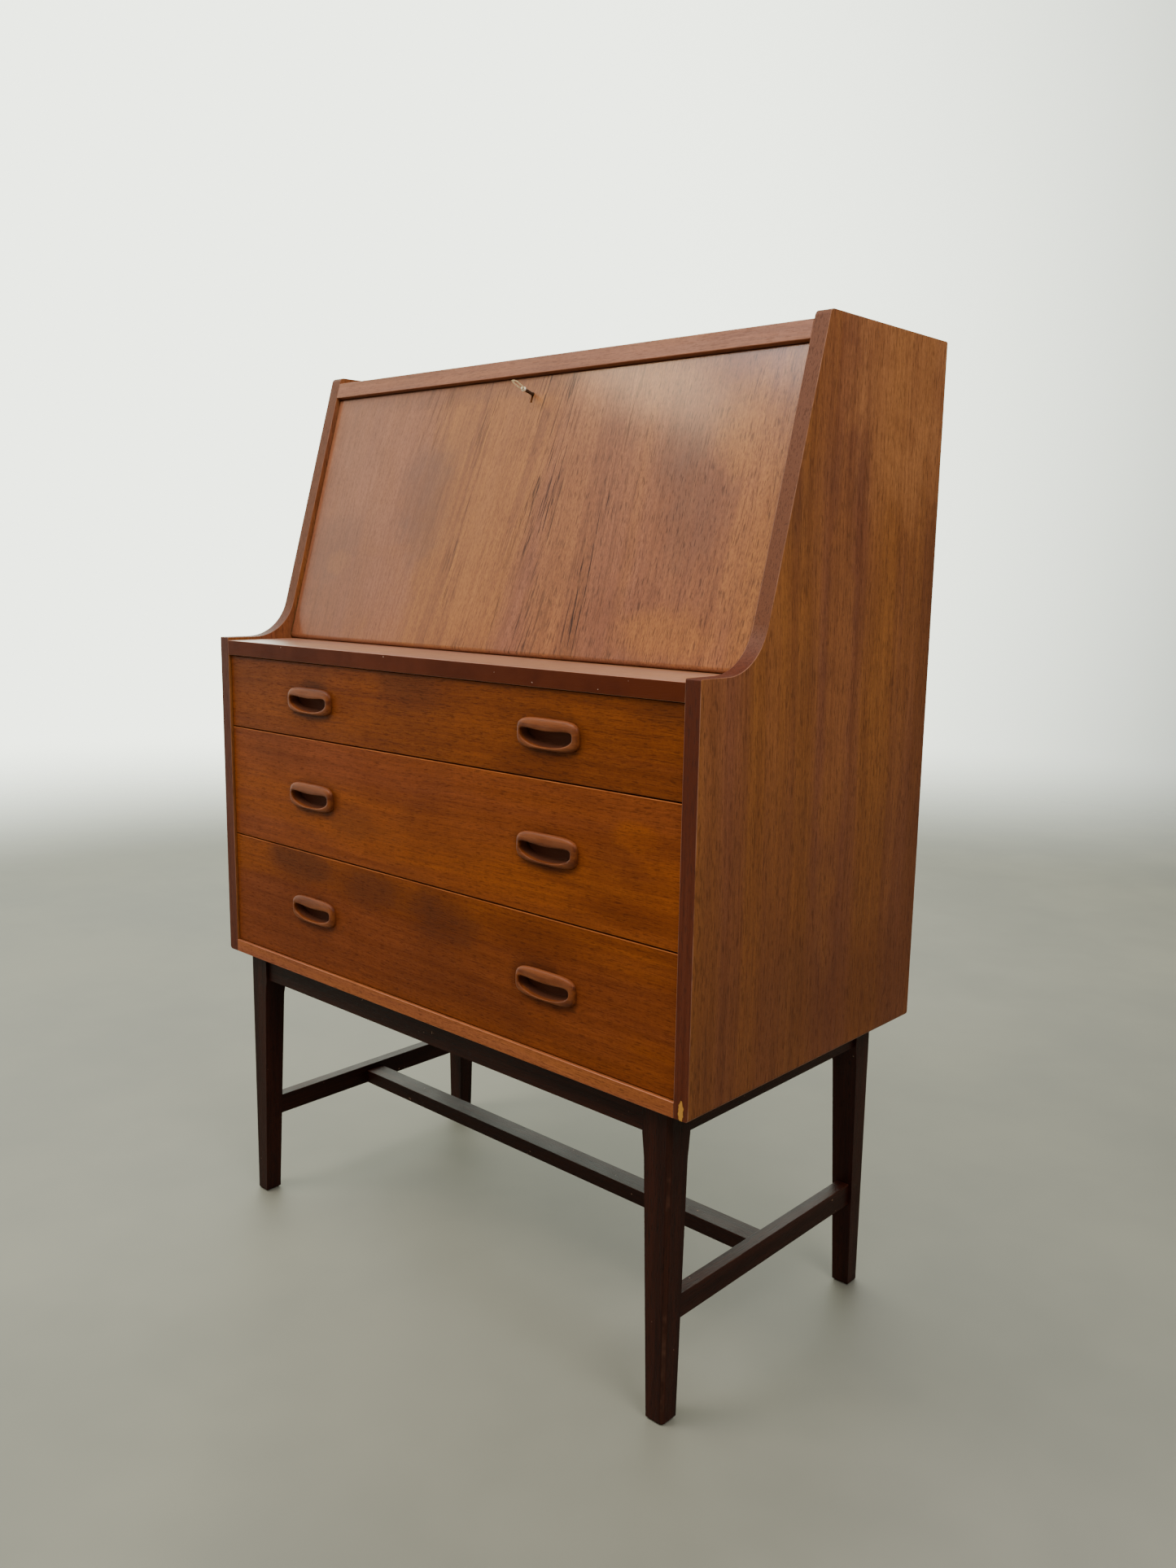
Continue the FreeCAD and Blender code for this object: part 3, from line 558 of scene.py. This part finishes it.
def metal(name):
    bright, tarnish, rough, grime = metals[name]
    f = Finish(name)
    x, y, z = f.place()
    stain = f.noise(f.vector(x, y, z), 210.0, 3.0, 0.6)
    brush = f.noise(f.vector(x * 2500, y * 300, z * 2500), 1.0, 2.0)
    tone = f.mix(f.step(stain, 0.42, 0.68) * grime, bright, tarnish)
    f.set(BaseColor=tone, Metallic=1.0, Roughness=rough + 0.18 * stain + 0.08 * brush)
    f.bump(brush, 0.03 * mm, 0.4)
    return f.material


def paint(node, material):
    mesh = nodes[node].data
    mesh.materials.clear()
    mesh.materials.append(material)


flapLook = {
    "tilt": lean, "streaks": 0.55, "clouds": 0.20, "lines": 1.0, "dashes": 1.1, "grit": 0.30,
    "dashSize": 1.2,
    "slant": 0.17,
    "slantRight": (0.15, 0.03),     # where across the board the slant fades in from each side
    "slantLeft": (-0.30, -0.14),
    "slantHeight": 0.15,            # above the board's foot, where it moves the grain neither way
    "lineZones": ((0.045, 0.060, 0.85), (0.140, 0.035, 1.0), (-0.150, 0.055, 0.45),
                  (-0.060, 0.050, 0.6)),
    "dashSplit": (-0.12, 0.16), "specular": 0.22, "gloss": 0.42, "lacquer": 0.45, "arris": 0.12,
    "seed": 3.1,
    # the tint is partly the flap's own tone and partly painted light: it makes the leaning flap paler and
    # brighter than the drawer fronts, as it catches more light from above
    "tint": (1.27, 1.13, 0.86), "edgeShade": 0.22,
    "patches": (
        (-0.290, 0.170, 0.150, 0.240, "rosy", 0.75),
        (-0.300, 0.060, 0.160, 0.110, "deep", 0.34),
        (-0.030, 0.15, 0.050, 0.40, "golden", 0.62),
        (-0.190, 0.170, 0.060, 0.300, "rosy", 0.60),
        (0.090, 0.10, 0.040, 0.30, "golden", 0.45),
        (0.270, 0.165, 0.055, 0.085, "smoke", 0.56),
        (0.235, 0.215, 0.040, 0.050, "smoke", 0.45),
        (-0.150, 0.175, 0.060, 0.090, "smoke", 0.60),
        (-0.320, 0.120, 0.060, 0.060, "smoke", 0.30),
        (-0.140, 0.315, 0.260, 0.022, "smoke", 0.40),
        (0.310, 0.245, 0.045, 0.070, "golden", 0.85),
        (0.345, 0.120, 0.030, 0.110, "golden", 0.60),
        (0.262, 0.030, 0.080, 0.035, "golden", 0.70),
        (-0.300, 0.098, 0.030, 0.018, "golden", 0.30),
        (0.024, 0.288, 0.020, 0.012, "golden", 0.90),
        # painted highlight: a brighter patch where the lacquer's sheen falls, at the flap's upper right
        (0.180, 0.300, 0.120, 0.050, "bright", 0.30),
    ),
}
drawerLook = {
    # the tint is partly the fronts' own tone and partly painted shade: it makes them darker than the flap,
    # as upright fronts catch less light from above
    "grain": "wide", "tint": (0.92, 0.56, 0.235), "streaks": 0.45, "clouds": 0.32, "dashes": 0.80,
    "dashSize": 1.1, "gloss": 0.40, "specular": 0.06, "bandLength": 0.9, "bandScale": 16.0,
    "wander": 0.012, "arris": 0.75,
}
drawerShades = (0.84, 1.05, 0.94)           # brightness of each front
pullDarkPatch = (0.052, 0.0265, "pore", 0.80)   # half width and height of the darker patch round a pull
drawerClouds = (                            # the patches of each front
    ((-0.010, 0.078, 0.060, 0.030, "smoke", 0.42), (0.180, 0.010, 0.080, 0.020, "deep", 0.45),
     (0.345, 0.080, 0.050, 0.016, "smoke", 0.40), (-0.310, 0.045, 0.080, 0.040, "golden", 0.35)),
    ((-0.120, 0.050, 0.060, 0.024, "smoke", 0.40), (0.318, 0.098, 0.040, 0.020, "golden", 0.95),
     (0.350, 0.074, 0.040, 0.014, "golden", 0.80), (0.308, 0.024, 0.080, 0.018, "deep", 0.55),
     (0.250, 0.060, 0.080, 0.018, "golden", 0.40)),
    ((-0.225, 0.126, 0.080, 0.028, "smoke", 0.80), (-0.090, 0.118, 0.090, 0.030, "smoke", 0.72),
     (0.030, 0.108, 0.080, 0.032, "smoke", 0.78), (0.180, 0.118, 0.090, 0.026, "deep", 0.50),
     (0.263, 0.040, 0.060, 0.030, "rosy", 0.60)),
)
sideLook = {
    "tint": (1.02, 0.89, 0.69), "streaks": 0.52, "clouds": 0.35, "dashes": 0.75,
    "specular": 0.13, "gloss": 0.42, "dashSize": 1.25, "bandScale": 14.0, "arris": 0.35,
    "lip": (0.118, 0.026, 0.010),
    "lipDeep": (0.088, 0.0165, 0.0052),
    "lipSlope": (0.160, 0.055, 0.023),
    "shoulderFoot": (0.52, 0.66),       # heights between which the lipping darkens
    "shoulderTop": (0.765, 0.750),
    "slopeFoot": (0.757, 0.80),         # and turns to the lighter tone of its slope, which is painted light where it faces up
    "patches": (
        (0.200, 0.33, 0.030, 0.36, "deep", 0.55),
        (0.120, 0.06, 0.160, 0.080, "deep", 0.45),
        (0.000, 0.02, 0.500, 0.340, "deep", 0.40),
        (0.020, 0.40, 0.030, 0.330, "golden", 0.45),
        # painted light: these two patches make the upper part of each side lighter, where the light falls
        # from above
        (0.110, 0.62, 0.050, 0.140, "golden", 0.55),
        (0.130, 0.72, 0.150, 0.180, "bright", 0.70),
    ),
}
edgeLook = {
    "grain": "wide", "tint": (1.20, 1.08, 0.95), "streaks": 0.35, "dashes": 0.55, "clouds": 0.2,
    "specular": 0.32, "arris": 0.5,
}
ledgeLook = {
    # painted sheen: the tint makes the board paler and brighter, for the sheen on its top
    "tint": (1.55, 1.75, 2.10), "specular": 0.06, "arris": 0.22, "lacquer": 0.9, "coatRough": 0.32,
    "strip": (0.100, 0.019, 0.0050),
    "stripDeep": (0.072, 0.013, 0.0035),
    "nick": (0.72, 0.52, 0.40),
    "nicks": 0.8,
}
bottomLook = {
    "tint": (1.30, 1.02, 0.98), "arris": 0.6,
}
paleWoods = {
    "beech": ((0.56, 0.38, 0.22), (0.44, 0.28, 0.15)),
    "ply": ((0.50, 0.33, 0.19), (0.38, 0.23, 0.12)),
    "backPly": ((0.34, 0.17, 0.085), (0.24, 0.115, 0.055)),
}


def dressNodes():
    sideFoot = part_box("side_panel_right")[0].z
    pivot = Vector(joints["flap_fold"]["pos_m"])
    flapFoot = pivot.y * math.sin(lean) + pivot.z * math.cos(lean)
    flapFace = pivot.y * math.cos(lean) - pivot.z * math.sin(lean) - faceOut
    paint("flap", teak("teakFlap", patchFoot=flapFoot, face=flapFace, **flapLook))
    paint("side_panel_right", sideTeak("teakSideRight", True, seed=7.3, patchFoot=sideFoot, **sideLook))
    paint("side_panel_left", sideTeak("teakSideLeft", False, seed=11.9, patchFoot=sideFoot, **sideLook))
    for number, clouds in enumerate(drawerClouds, 1):
        node = "drawer_%d_front" % number
        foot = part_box(node)[0].z
        for side in ("left", "right"):
            low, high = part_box("drawer_%d_pull_%s" % (number, side))
            clouds += (((low.x + high.x) / 2, (low.z + high.z) / 2 - foot, *pullDarkPatch),)
        tint = tuple(part * drawerShades[number - 1] for part in drawerLook["tint"])
        paint(node, teak("teakDrawer%d" % number, seed=17.0 + 5.3 * number, patches=clouds, patchFoot=foot,
                         **{**drawerLook, "tint": tint}))
    paint("bottom_panel", teak("teakBottom", seed=41.2, **{**drawerLook, **bottomLook}))
    paint("desk_board", ledgeTeak("teakLedge", seed=43.7, **{**edgeLook, **ledgeLook}))
    paint("top_rail", teak("teakRail", seed=47.1, tilt=lean, **edgeLook))
    paint("top_panel", teak("teakTop", seed=51.4, **edgeLook))
    inner = teak("teakInner", seed=57.8, **edgeLook)
    for node in ("inner_shelf", "inner_drawer_left_front", "inner_drawer_right_front", "flap_stop"):
        paint(node, inner)
    paint("inner_dividers", teak("teakDividers", seed=61.8, **{**edgeLook, "grain": "up"}))
    for number, node in enumerate(("leg_front_left", "leg_front_right", "leg_rear_left", "leg_rear_right")):
        paint(node, darkWood("darkLeg%d" % number, seed=2.7 * number))
    across = darkWood("darkAcross", grain="wide", seed=13.0)
    for node in ("apron_front", "apron_rear", "stretcher_long"):
        paint(node, across)
    deep = darkWood("darkDeep", grain="deep", seed=19.0)
    for node in ("apron_left", "apron_right", "stretcher_left", "stretcher_right"):
        paint(node, deep)
    beech = paleWood("beechDeep", *paleWoods["beech"])
    beechWide = paleWood("beechWide", *paleWoods["beech"], "wide", seed=4.0)
    ply = paleWood("plyWide", *paleWoods["ply"], "wide", 0.4, 0.6, 8.0)
    paint("drawer_runners", beech)
    paint("corner_blocks", beechWide)
    paint("back_panel", paleWood("backPly", *paleWoods["backPly"], "up", 0.5, 0.58, 12.0))
    for number in (1, 2, 3):
        for side in ("left", "right"):
            paint("drawer_%d_side_%s" % (number, side), beech)
        paint("drawer_%d_back" % number, beechWide)
        paint("drawer_%d_bottom" % number, ply)
    for side in ("left", "right"):
        paint("inner_drawer_%s_box" % side, beechWide)
    brass = metal("wornBrass")
    steel = metal("dullSteel")
    for side in ("left", "right"):
        paint("case_hinge_leaf_%s" % side, brass)
        paint("flap_hinge_leaf_%s" % side, brass)
    for node in ("strike_plate", "flap_hinge_screws", "case_screws"):
        paint(node, brass)
    for node in ("lock_case", "lock_bolt", "base_screws"):
        paint(node, steel)


# --- new pieces

def edgesOf(verts):
    return list(dict.fromkeys(edge for vert in verts for edge in vert.link_edges))


def sortParts(bm):
    # the mesh tools leave their parts in no fixed order
    way = Vector((1.0, 1.618, 2.718))
    bm.verts.sort(key=lambda vert: vert.co.dot(way))
    bm.verts.index_update()

    def rank(face):
        first, second, third = sorted(vert.index for vert in face.verts)[:3]
        return (first * len(bm.verts) + second) * len(bm.verts) + third

    bm.faces.sort(key=rank)


def finishPiece(bm, name, material, body, smoothAngle=40):
    bmesh.ops.remove_doubles(bm, verts=bm.verts, dist=1e-6)
    bmesh.ops.recalc_face_normals(bm, faces=bm.faces)
    sortParts(bm)
    mesh = bpy.data.meshes.new(name)
    bm.to_mesh(mesh)
    bm.free()
    mesh.materials.append(material)
    mesh.shade_smooth()
    mesh.set_sharp_from_angle(angle=math.radians(smoothAngle))
    piece = bpy.data.objects.new(name, mesh)
    bpy.context.scene.collection.objects.link(piece)
    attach(piece, body)
    return piece


pullShape = {
    "points": 128,
    "squareness": 4.2,      # of the outline, 2 would be an ellipse
    "mouthSquareness": 3.0,
    "mouthTop": 3.4,        # pocket edges from the pull's middle, in mm
    "mouthTopRise": 5.2,    # how much higher its ends are
    "mouthBottom": -13.0,
    "mouthBottomRise": 4.6,
    "mouthHalf": 36.2,
    "mouthLeft": 0.9,       # how far the mouth sits left of the middle
    "gripUp": 4.6,          # undercut behind the lip
    "gripNarrow": 0.04,     # share by which the undercut is narrower than the mouth
    "floorFrom": 8.5,       # depth from which the lower edge rises to the floor
    "floorRise": 0.6,
    "floorInset": 1.6,
    "floorLift": -0.15,
    "profile": [            # (share of the way to the pocket's edge, depth behind the crown in mm)
        (0.0, 15.6), (0.0, 5.6), (0.0, 4.6), (0.010, 3.7), (0.035, 2.9), (0.08, 2.15), (0.15, 1.5),
        (0.24, 0.98), (0.35, 0.58), (0.47, 0.30), (0.60, 0.11), (0.72, 0.02), (0.82, 0.0), (0.90, 0.08),
        (0.955, 0.28), (0.988, 0.62), (1.0, 1.1), (1.0, 2.2), (1.0, 4.6),
    ],
    "pocket": [             # (share of the undercut, depth in mm)
        (0.25, 6.2), (0.7, 7.6), (1.0, 9.2), (1.0, 11.0), (0.9, 12.2), (0.62, 12.9),
    ],
}


def superellipse(angle, squareness):
    c = math.cos(angle)
    s = math.sin(angle)
    power = 2 / squareness
    return math.copysign(abs(c) ** power, c), math.copysign(abs(s) ** power, s)


def makePull(number, side, material):
    low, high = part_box("drawer_%d_pull_%s" % (number, side))
    middle = (low + high) / 2
    halfWidth = (high.x - low.x) / 2
    halfHeight = (high.z - low.z) / 2
    bm = bmesh.new()
    angle = bm.verts.layers.float.new("angle")
    ring = bmesh.ops.create_circle(bm, cap_ends=False, segments=pullShape["points"], radius=1.0)["verts"]
    for vert in ring:
        vert[angle] = math.atan2(vert.co.y, vert.co.x)

    def shape(verts, share, depth, grip=0.0):
        # lays a ring between the outline and the pocket's edge, at a depth behind the crown
        for vert in verts:
            px, pz = superellipse(vert[angle], pullShape["squareness"])
            mx, mz = superellipse(vert[angle], pullShape["mouthSquareness"])
            top = pullShape["mouthTop"] + pullShape["mouthTopRise"] * mx * mx
            top = (top + grip * pullShape["gripUp"]) * mm
            bottom = (pullShape["mouthBottom"] + pullShape["mouthBottomRise"] * mx * mx) * mm
            bottom += max(0.0, depth - pullShape["floorFrom"]) * pullShape["floorRise"] * mm
            mouthX = pullShape["mouthHalf"] * mx * (1 - pullShape["gripNarrow"] * grip)
            mouthX = (mouthX - pullShape["mouthLeft"]) * mm
            mouthZ = (top + bottom) / 2 + (top - bottom) / 2 * mz
            outerX = halfWidth * px
            outerZ = halfHeight * pz
            vert.co = (middle.x + outerX + (mouthX - outerX) * share,
                       low.y + depth * mm,
                       middle.z + outerZ + (mouthZ - outerZ) * share)

    steps = [(share, depth, 0.0) for share, depth in pullShape["profile"]]
    steps += [(1.0, depth, grip) for grip, depth in pullShape["pocket"]]
    shape(ring, *steps[0])
    edges = edgesOf(ring)
    bmesh.ops.edgeloop_fill(bm, edges=edges)
    for step in steps[1:]:
        geometry = bmesh.ops.extrude_edge_only(bm, edges=edges)["geom"]
        edges = [part for part in geometry if isinstance(part, bmesh.types.BMEdge)]
        shape([part for part in geometry if isinstance(part, bmesh.types.BMVert)], *step)
    floorFaces = bmesh.ops.edgeloop_fill(bm, edges=edges)["faces"]
    bmesh.ops.inset_region(bm, faces=floorFaces, thickness=pullShape["floorInset"] * mm,
                           depth=pullShape["floorLift"] * mm, use_even_offset=True)
    piece = finishPiece(bm, "pull_%d_%s" % (number, side), material, "drawer_%d" % number, 60)
    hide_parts("drawer_%d_pull_%s" % (number, side))


keyShape = {
    "points": 40,
    "profile": [            # (distance out of the flap's face, radius), in mm
        (-15.6, 0.0), (-15.6, 1.3), (-15.2, 1.9), (13.4, 1.9), (13.8, 2.2), (14.2, 2.75), (15.0, 2.95),
        (15.8, 2.75), (16.3, 2.2), (16.7, 1.8), (17.6, 1.5), (18.4, 1.4), (18.8, 0.0),
    ],
    "bowStart": 17.6,
    "bowHalfLong": 7.7,     # of the loop's middle line
    "bowHalfWide": 3.7,
    "bowLift": 12.0,        # degrees that the loop is bent up from the shaft
    "wire": 1.45,
    "wirePoints": 16,
    "bowPoints": 48,
    "bit": (5.0, 1.8, 3.4),
    "bitMiddle": (3.0, 0.0, -13.4),
    "shaftTone": (0.050, 0.026, 0.015),
    # the loop's near-white tone is partly a painted highlight on the brass
    "bowTone": (0.98, 0.88, 0.66),
    "tarnish": (0.20, 0.11, 0.055),
    "handledFrom": 18.5,    # mm out from the joint, where the bright loop, partly a painted highlight, takes over
    "handledTo": 21.5,
}


def keyBrass(pivot, axis):
    # a dark shaft and a near-white loop, whose pale colour is partly brass and partly a painted highlight
    f = Finish("keyBrass")
    x, y, z = f.place()
    out = f.node("ShaderNodeVectorMath", {"operation": "DOT_PRODUCT"},
                 {0: f.vector(x, y, z), 1: axis}, 1) - pivot.dot(axis)
    stain = f.noise(f.vector(x, y, z), 320.0, 3.0, 0.6)
    loopHighlight = f.step(out + stain * (3 * mm), keyShape["handledFrom"] * mm, keyShape["handledTo"] * mm)
    tone = f.mix(loopHighlight, keyShape["shaftTone"], keyShape["bowTone"])
    tone = f.mix(f.step(stain, 0.56, 0.74) * 0.4, tone, keyShape["tarnish"])
    f.set(BaseColor=tone, Metallic=0.22, Roughness=0.16 + 0.26 * stain)
    f.bump(stain, 0.05 * mm, 0.35)
    return f.material


def makeKey():
    pivot = Vector(joints["key_turn"]["pos_m"])
    axis = Vector(joints["key_turn"]["axis"])
    up = Vector((0, math.sin(lean), math.cos(lean)))
    bm = bmesh.new()
    spine = [bm.verts.new((radius * mm, 0, distance * mm)) for distance, radius in keyShape["profile"]]
    edges = [bm.edges.new(pair) for pair in zip(spine, spine[1:])]
    bmesh.ops.spin(bm, geom=spine + edges, cent=(0, 0, 0), axis=(0, 0, 1), angle=2 * math.pi,
                   steps=keyShape["points"], use_merge=True)
    shaft = set(bm.verts)
    wide = keyShape["bowHalfWide"]
    section = bmesh.ops.create_circle(bm, cap_ends=False, segments=keyShape["wirePoints"],
                                      radius=keyShape["wire"] * mm)["verts"]
    bmesh.ops.rotate(bm, verts=section, cent=(0, 0, 0), matrix=Matrix.Rotation(math.pi / 2, 3, "X"))
    bmesh.ops.translate(bm, verts=section, vec=(wide * mm, 0, 0))
    ring = section + edgesOf(section)
    bmesh.ops.spin(bm, geom=ring, cent=(0, 0, 0), axis=(0, 1, 0), angle=2 * math.pi,
                   steps=keyShape["bowPoints"], use_merge=True)
    loop = [vert for vert in bm.verts if vert not in shaft]
    stretch = keyShape["bowHalfLong"] - wide
    for vert in loop:
        vert.co.z += math.copysign(stretch * mm, vert.co.z) * min(1.0, abs(vert.co.z) / (0.45 * wide * mm))
    bmesh.ops.translate(bm, verts=loop, vec=(0, 0, keyShape["bowHalfLong"] * mm))
    bmesh.ops.rotate(bm, verts=loop, cent=(0, 0, 0),
                     matrix=Matrix.Rotation(math.radians(-keyShape["bowLift"]), 3, "X"))
    bmesh.ops.translate(bm, verts=loop, vec=(0, 0, keyShape["bowStart"] * mm))
    bit = bmesh.ops.create_cube(bm, size=1.0)["verts"]
    bmesh.ops.scale(bm, verts=bit, vec=Vector(keyShape["bit"]) * mm)
    bmesh.ops.translate(bm, verts=bit, vec=Vector(keyShape["bitMiddle"]) * mm)
    placing = Matrix((Vector((1, 0, 0)), up, axis)).transposed().to_4x4()
    placing.translation = pivot + axis * faceOut
    bmesh.ops.transform(bm, matrix=placing, verts=bm.verts)
    piece = finishPiece(bm, "key_with_loop", keyBrass(pivot, axis), "key", 35)
    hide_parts("key")


backPins = {
    "spacing": 0.105,
    "inset": 0.007,
    "radius": 2.1,      # mm
    "height": 0.45,
    "sunk": 0.6,        # how deep a head starts inside the panel
    "shoulder": 0.7,    # width of its rounded rim
    "points": 20,
}


def makeBackPins():
    # the slightly domed heads of the pins around the back panel
    low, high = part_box("back_panel")
    inset = backPins["inset"]
    across = int((high.x - low.x - 2 * inset) / backPins["spacing"])
    upward = int((high.z - low.z - 2 * inset) / backPins["spacing"])
    spots = []
    for step in range(across + 1):
        x = low.x + inset + (high.x - low.x - 2 * inset) * step / across
        spots += [(x, low.z + inset), (x, high.z - inset)]
    for step in range(1, upward):
        z = low.z + inset + (high.z - low.z - 2 * inset) * step / upward
        spots += [(low.x + inset, z), (high.x - inset, z)]
    sunk = backPins["sunk"] * mm
    rise = backPins["height"] * mm / 2
    bm = bmesh.new()
    for x, z in spots:
        head = bmesh.ops.create_circle(bm, cap_ends=True, segments=backPins["points"],
                                       radius=backPins["radius"] * mm)["verts"]
        bmesh.ops.rotate(bm, verts=head, cent=(0, 0, 0), matrix=Matrix.Rotation(-math.pi / 2, 3, "X"))
        bmesh.ops.translate(bm, verts=head, vec=(x, high.y - sunk, z))
        rim = bmesh.ops.extrude_face_region(bm, geom=[head[0].link_faces[0]])["geom"]
        moved = [part for part in rim if isinstance(part, bmesh.types.BMVert)]
        bmesh.ops.translate(bm, verts=moved, vec=(0, sunk + rise, 0))
        top = [part for part in rim if isinstance(part, bmesh.types.BMFace)]
        bmesh.ops.inset_region(bm, faces=top, thickness=backPins["shoulder"] * mm, depth=rise)
    finishPiece(bm, "back_pins", metal("pinSteel"), "case", 40)


makeCamera()
makeLamps()
makeWorld()
makeFloor()
print("camera, light and floor made")
dressNodes()
print("wood and metal on the frame's pieces")
pullWood = carvedTeak("carvedTeak")
for number in (1, 2, 3):
    for side in ("left", "right"):
        makePull(number, side, pullWood)
makeKey()
makeBackPins()
print("pulls, key and back pins modelled")
